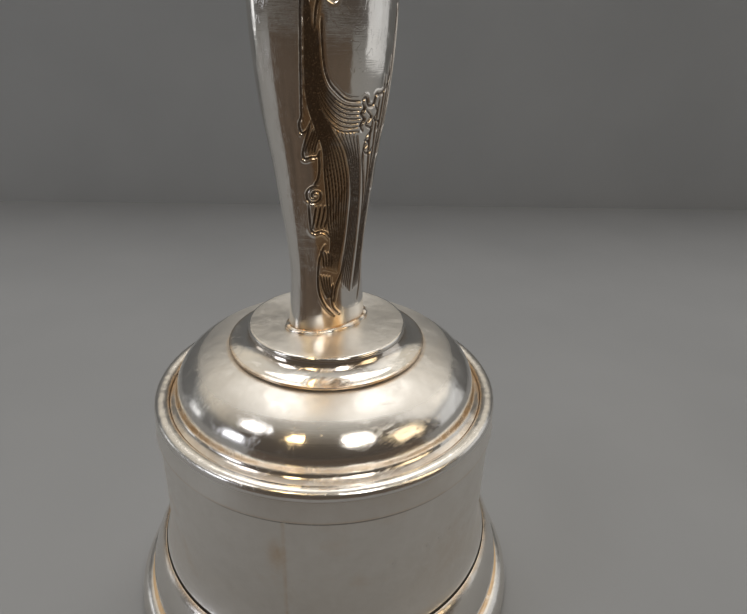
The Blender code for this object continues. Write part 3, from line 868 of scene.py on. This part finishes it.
def wire(name, points, radius, closed=False, sides=20):
    """A round wire along points in millimetres, closed on itself or with rounded ends."""
    route = [Vector(p) for p in points]
    count = len(route)
    verts, faces = [], []
    side = None
    for i, here in enumerate(route):
        before = route[i - 1] if closed or i else here
        after = route[(i + 1) % count] if closed or i < count - 1 else here
        direction = (after - before).normalized()
        if side is None:
            side = direction.orthogonal().normalized()
        side = (side - direction * side.dot(direction)).normalized()
        other = direction.cross(side)
        for k in range(sides):
            a = 2 * math.pi * k / sides
            verts.append((here + (side * math.cos(a) + other * math.sin(a)) * radius) * MM)
    rings = count if closed else count - 1
    for i in range(rings):
        a, b = i * sides, (i + 1) % count * sides
        faces += [(a + k, a + (k + 1) % sides, b + (k + 1) % sides, b + k) for k in range(sides)]
    if not closed:
        faces.append(tuple(reversed(range(sides))))
        faces.append(tuple((count - 1) * sides + k for k in range(sides)))
    obj = mesh_object(name, [tuple(v) for v in verts], faces)
    paint(obj, "tarnish", np.zeros(len(verts)))
    return obj


def ring_points(radius, centre, start, end, count):
    """Points round a ring in the XZ plane, whose centre is at a height, angles in degrees."""
    parts = count if end - start >= 360 else count - 1
    angles = [math.radians(start + (end - start) * i / parts) for i in range(count)]
    return [(radius * math.cos(a), 0.0, centre + radius * math.sin(a)) for a in angles]


def build_clapper():
    steel = plain_metal("wire_steel", (0.46, 0.44, 0.41), (0.16, 0.12, 0.09), 0.30)
    dull_brass = plain_metal("washer_brass", (0.62, 0.45, 0.22), (0.20, 0.13, 0.06), 0.36)
    ball_metal = plain_metal("ball_metal", (0.66, 0.58, 0.42), (0.30, 0.21, 0.10), 0.22, scale=2.0)

    bolt_r = 1.5
    flange_top = 37.3
    flange = [(0.05, bolt_high.z - 0.1), (bolt_r - 0.4, bolt_high.z - 0.1),
              (bolt_r - 0.02, bolt_high.z - 0.5)]
    pitch, depth = 0.5, 0.14
    for k in range(int((bolt_high.z - 1.0 - 39.0) / pitch)):
        z = bolt_high.z - 1.0 - pitch * k
        flange += [(bolt_r - 0.02, z), (bolt_r - 0.02 - depth, z - pitch / 2)]
    flange += [(bolt_r - 0.02, 38.9), (bolt_r - 0.02, flange_top)]
    flange += arc((2.75, flange_top - 0.25), 0.23, 90, 0, 5)
    flange += arc((2.75, flange_top - 0.65), 0.23, 0, -90, 5)
    flange += [(0.05, flange_top - 0.88)]
    bolt = lathe("eye_bolt_steel", flange, turns=64, longest=3.0)
    finish_piece(bolt, steel, BODY, "inner_steel", "eye_bolt")
    eye_r, eye_wire = 2.0, 0.58
    eye = wire("eye_ring_steel", ring_points(eye_r, LINK_PIVOT + eye_r, 62, 478, 72), eye_wire)
    finish_piece(eye, steel, BODY, "inner_steel")

    washer_low, washer_high = low_high("crown_washer")
    rim = washer_high.x - 0.02
    section = [(BOLT_HOLE_R, washer_high.z), (rim, washer_high.z), (rim, washer_low.z),
               (BOLT_HOLE_R, washer_low.z)]
    washer = lathe("crown_washer_brass", eased(section, 0.18), turns=128)
    finish_piece(washer, dull_brass, BODY, "inner_brass", "crown_washer")

    bend, link_wire = 1.3, 0.54
    drop = LINK_PIVOT - STEM_PIVOT - bend
    loop = [(0.0, bend * math.cos(math.pi * i / 20), LINK_PIVOT + bend * math.sin(math.pi * i / 20))
            for i in range(21)]
    loop += [(0.0, bend * math.cos(math.pi * (1 + i / 20)),
              LINK_PIVOT - drop + bend * math.sin(math.pi * (1 + i / 20))) for i in range(21)]
    link = wire("link_steel", loop, link_wire, closed=True)
    finish_piece(link, steel, LINK, "inner_steel", "clapper_link")

    stem_r = 0.48
    loop = ring_points(bend, STEM_PIVOT, 258, 584, 60)
    shaft = [(0.0, 0.0, z) for z in np.linspace(STEM_PIVOT - bend - 1.0, stem_low.z + 0.4, 12)]
    route = loop[::-1][:-1] + [(-0.12, 0.0, STEM_PIVOT - bend - 0.02)] + shaft
    stem = wire("stem_steel", route, stem_r)
    finish_piece(stem, steel, CLAPPER, "inner_steel", "clapper_stem")
    head_r = stem_high.y
    head_top = stem_low.z + 0.78
    head_outline = [(0.02, head_top), (head_r - 0.1, head_top)]
    head_outline += arc((0.0, head_top - 0.12), (head_r - 0.02, 0.6), 0, -86, 10) + [(0.02, head_top - 0.72)]
    head = lathe("stem_head_steel", head_outline, turns=48)
    finish_piece(head, steel, CLAPPER, "inner_steel")

    radius = ball_high.x
    middle = (ball_low.z + ball_high.z) / 2
    bore = 0.52
    half = math.degrees(math.acos(bore / (radius - 0.05)))
    section = arc((0.0, middle), radius - 0.05, half, -half, 64)
    ball = lathe("ball_brass", section, lambda a, r, z: 0.03 * bump_at(z, middle, 0.12) * (r > 2.0)
                 - 0.05 * bump_at(angle_gap(a, 1.1) * 6, 0, 0.9) * bump_at(z, middle + 1.5, 0.8),
                 lambda a, r, z: 0.9 * bump_at(r, 0.6, 0.5) + 0.4 * bump_at(z, middle, 0.25), turns=128)
    finish_piece(ball, ball_metal, CLAPPER, "ball_brass", "clapper_ball")


# ---- stage, light and camera


def sheet(name, corners):
    """One flat quadrilateral of the stage."""
    return mesh_object(name, [tuple(c) for c in corners], [(0, 1, 2, 3)], smooth=False)


def stage_paper(name, dark, pale):
    """Matt paper with a faint cloudiness; seen from behind it isn't there."""
    g = Graph(name)
    place = g.place()
    tone = g.ramp(g.noise(place, 0.02, 3.0), 0.3, 0.7)
    g.surface("Base Color", g.mix(tone, (*dark, 1.0), (*pale, 1.0)))
    g.surface("Roughness", 0.7)
    g.surface("Specular IOR Level", 0.2)
    grain = g.noise(place, 2.5, 3.0)
    bump = g.node("ShaderNodeBump", {"Strength": 0.12, "Distance": 0.0001, "Height": grain})
    g.surface("Normal", bump.outputs[0])
    behind = g.node("ShaderNodeNewGeometry").outputs["Backfacing"]
    clear = g.node("ShaderNodeBsdfTransparent").outputs[0]
    mixed = g.node("ShaderNodeMixShader", {0: behind, 1: g.shader.outputs[0], 2: clear})
    g.put(g.tree.nodes["Material Output"].inputs[0], mixed.outputs[0])
    return g.material


def build_stage():
    """A plain sheet under the bell and one standing behind it."""
    ahead = Vector((math.sin(math.radians(CAMERA_TURN)), math.cos(math.radians(CAMERA_TURN)), 0.0))
    right = Vector((ahead.y, -ahead.x, 0.0))
    fold = Vector((CAMERA_AT.x, CAMERA_AT.y, 0.0)) + ahead * BACKDROP_AWAY
    along = right + ahead * BACKDROP_SLANT
    reach, height = 0.9, 0.17
    floor = sheet("stage_floor", [fold - along * reach - ahead * 1.2, fold + along * reach - ahead * 1.2,
                                  fold + along * reach, fold - along * reach])
    floor.data.materials.append(stage_paper("stage_table", (0.355, 0.365, 0.38), (0.385, 0.395, 0.41)))
    up = Vector((0.0, 0.0, height)) + ahead * 0.015
    back = sheet("stage_backdrop", [fold - along * reach, fold + along * reach, fold + along * reach + up,
                                    fold - along * reach + up])
    back.data.materials.append(stage_paper("stage_wall", (0.60, 0.635, 0.67), (0.65, 0.685, 0.72)))


def build_world():
    """Soft room: bright overhead and behind the bell, dim on the side it is seen from."""
    world = bpy.data.worlds.new("studio")
    bpy.context.scene.world = world
    world.use_nodes = True
    tree = world.node_tree

    def ramp(value, stops):
        made = tree.nodes.new("ShaderNodeValToRGB")
        tree.links.new(value, made.inputs[0])
        made.color_ramp.elements.remove(made.color_ramp.elements[1])
        for i, (at, colour) in enumerate(stops):
            stop = made.color_ramp.elements[0] if i == 0 else made.color_ramp.elements.new(at)
            stop.position = at
            stop.color = (*colour, 1.0)
        return made.outputs[0]

    def mixed(factor, a, b):
        made = tree.nodes.new("ShaderNodeMix")
        made.data_type = "RGBA"
        for socket, value in ((0, factor), (6, a), (7, b)):
            tree.links.new(value, made.inputs[socket])
        return made.outputs[2]

    coords = tree.nodes.new("ShaderNodeTexCoord")
    turned = tree.nodes.new("ShaderNodeMapping")
    turned.inputs["Rotation"].default_value = (0.0, 0.0, -FRONT)
    tree.links.new(coords.outputs["Generated"], turned.inputs[0])
    parts = tree.nodes.new("ShaderNodeSeparateXYZ")
    tree.links.new(turned.outputs[0], parts.inputs[0])
    near, right, up = parts.outputs
    behind = ramp(up, ((0.0, (0.21, 0.215, 0.22)), (0.4, (0.27, 0.27, 0.265)), (0.55, (0.72, 0.66, 0.56)),
                       (0.9, (0.64, 0.61, 0.56))))
    ahead = ramp(up, ((0.0, (0.075, 0.062, 0.052)), (0.6, (0.09, 0.075, 0.060)),
                      (0.85, (0.20, 0.175, 0.145)), (1.0, (0.46, 0.44, 0.40))))
    part_turned = tree.nodes.new("ShaderNodeMapRange")
    tree.links.new(near, part_turned.inputs[0])
    for socket, value in ((1, 0.35), (2, -0.3), (3, 0.0), (4, 1.0)):
        part_turned.inputs[socket].default_value = value
    sky = mixed(part_turned.outputs[0], ahead, behind)
    tree.links.new(sky, tree.nodes["Background"].inputs[0])
    tree.nodes["Background"].inputs[1].default_value = 1.0


def soft_light(name, turn, rise, distance, size, power, colour=(1.0, 1.0, 1.0), on_paper=False):
    """A soft light facing the bell, turn degrees to the camera's right and rise degrees up."""
    data = bpy.data.lights.new(name, "AREA")
    data.shape = "RECTANGLE"
    data.size, data.size_y = size
    data.energy = power
    data.color = colour
    light = bpy.data.objects.new(name, data)
    a, e = degrees_right(turn), math.radians(rise)
    target = Vector((0.0, 0.0, 0.045))
    aim = Vector((math.cos(a) * math.cos(e), math.sin(a) * math.cos(e), math.sin(e)))
    light.location = target + distance * aim
    light.visible_camera = False
    light.visible_diffuse = on_paper
    light.rotation_euler = (target - light.location).to_track_quat("-Z", "Y").to_euler()
    bpy.context.scene.collection.objects.link(light)


def build_lights():
    """Windows and lamps of the room, as soft boxes out of the picture."""
    soft_light("light_over", 176.0, 66.0, 1.15, (0.8, 0.65), 3.6, (1.0, 0.98, 0.95), on_paper=True)
    soft_light("light_key", -70.0, 48.0, 0.75, (0.20, 0.20), 0.35, (0.98, 0.98, 1.0), on_paper=True)
    soft_light("light_right_high", 104.0, 42.0, 0.6, (0.40, 0.40), 0.18)
    soft_light("light_left_cool", -66.0, 12.0, 0.6, (0.16, 0.18), 0.30, (0.86, 0.90, 1.0))
    soft_light("light_lamp", -28.0, 50.0, 0.55, (0.07, 0.09), 0.30, (1.0, 0.74, 0.40))
    soft_light("light_window", 24.0, 45.0, 0.6, (0.13, 0.24), 0.75, (1.0, 0.96, 0.90))
    soft_light("light_gold", 60.0, 24.0, 0.6, (0.20, 0.26), 0.36, (1.0, 0.80, 0.52))
    soft_light("light_right", 103.0, 6.0, 0.45, (0.34, 0.24), 0.12, (0.98, 0.99, 1.0))
    soft_light("light_far_left", -115.0, 3.0, 0.6, (0.4, 0.14), 0.18, (0.95, 0.97, 1.0))


def build_mouth_light():
    """A small soft light in the mouth, facing up, so that the inside and the clapper show from below."""
    data = bpy.data.lights.new("light_mouth", "AREA")
    data.size = 0.034
    data.energy = 0.003
    light = bpy.data.objects.new("light_mouth", data)
    light.location = (0.0, 0.0, 0.0008)
    light.rotation_euler = (math.pi, 0.0, 0.0)
    light.visible_camera = False
    bpy.context.scene.collection.objects.link(light)


def build_flag():
    """A dark card low on the near side, which shows only as a reflection in the metal."""
    near, far, left, right = 0.084, 0.75, -50.0, 66.0
    steps = 16
    points = []
    for distance in (near, far):
        for k in range(steps + 1):
            a = degrees_right(left + (right - left) * k / steps)
            points.append((distance * math.cos(a), distance * math.sin(a), 0.0012))
    faces = [(k, k + 1, steps + 2 + k, steps + 1 + k) for k in range(steps)]
    flag = mesh_object("stage_flag", points, faces, smooth=False)
    g = Graph("stage_dark")
    tone = g.ramp(g.noise(g.place(), 0.03, 3.0), 0.3, 0.7)
    g.surface("Base Color", g.mix(tone, (0.07, 0.05, 0.038, 1.0), (0.16, 0.115, 0.085, 1.0)))
    g.surface("Roughness", 0.9)
    flag.data.materials.append(g.material)
    flag.visible_camera = False
    flag.visible_diffuse = False
    flag.visible_shadow = False


def build_camera():
    data = bpy.data.cameras.new("camera")
    data.sensor_width = 36.0
    data.lens = CAMERA_LENS
    data.clip_start = 0.005
    camera = bpy.data.objects.new("camera", data)
    turn = (Matrix.Rotation(-math.radians(CAMERA_TURN), 4, "Z")
            @ Matrix.Rotation(math.radians(90.0 - CAMERA_PITCH), 4, "X")
            @ Matrix.Rotation(math.radians(CAMERA_ROLL), 4, "Z"))
    camera.matrix_world = Matrix.Translation(CAMERA_AT) @ turn
    bpy.context.scene.collection.objects.link(camera)
    bpy.context.scene.camera = camera


bpy.context.scene.view_settings.view_transform = "Standard"
build_camera()
build_stage()
build_world()
build_lights()
build_mouth_light()
build_flag()
build_bell()
build_collar()
build_handle()
build_clapper()
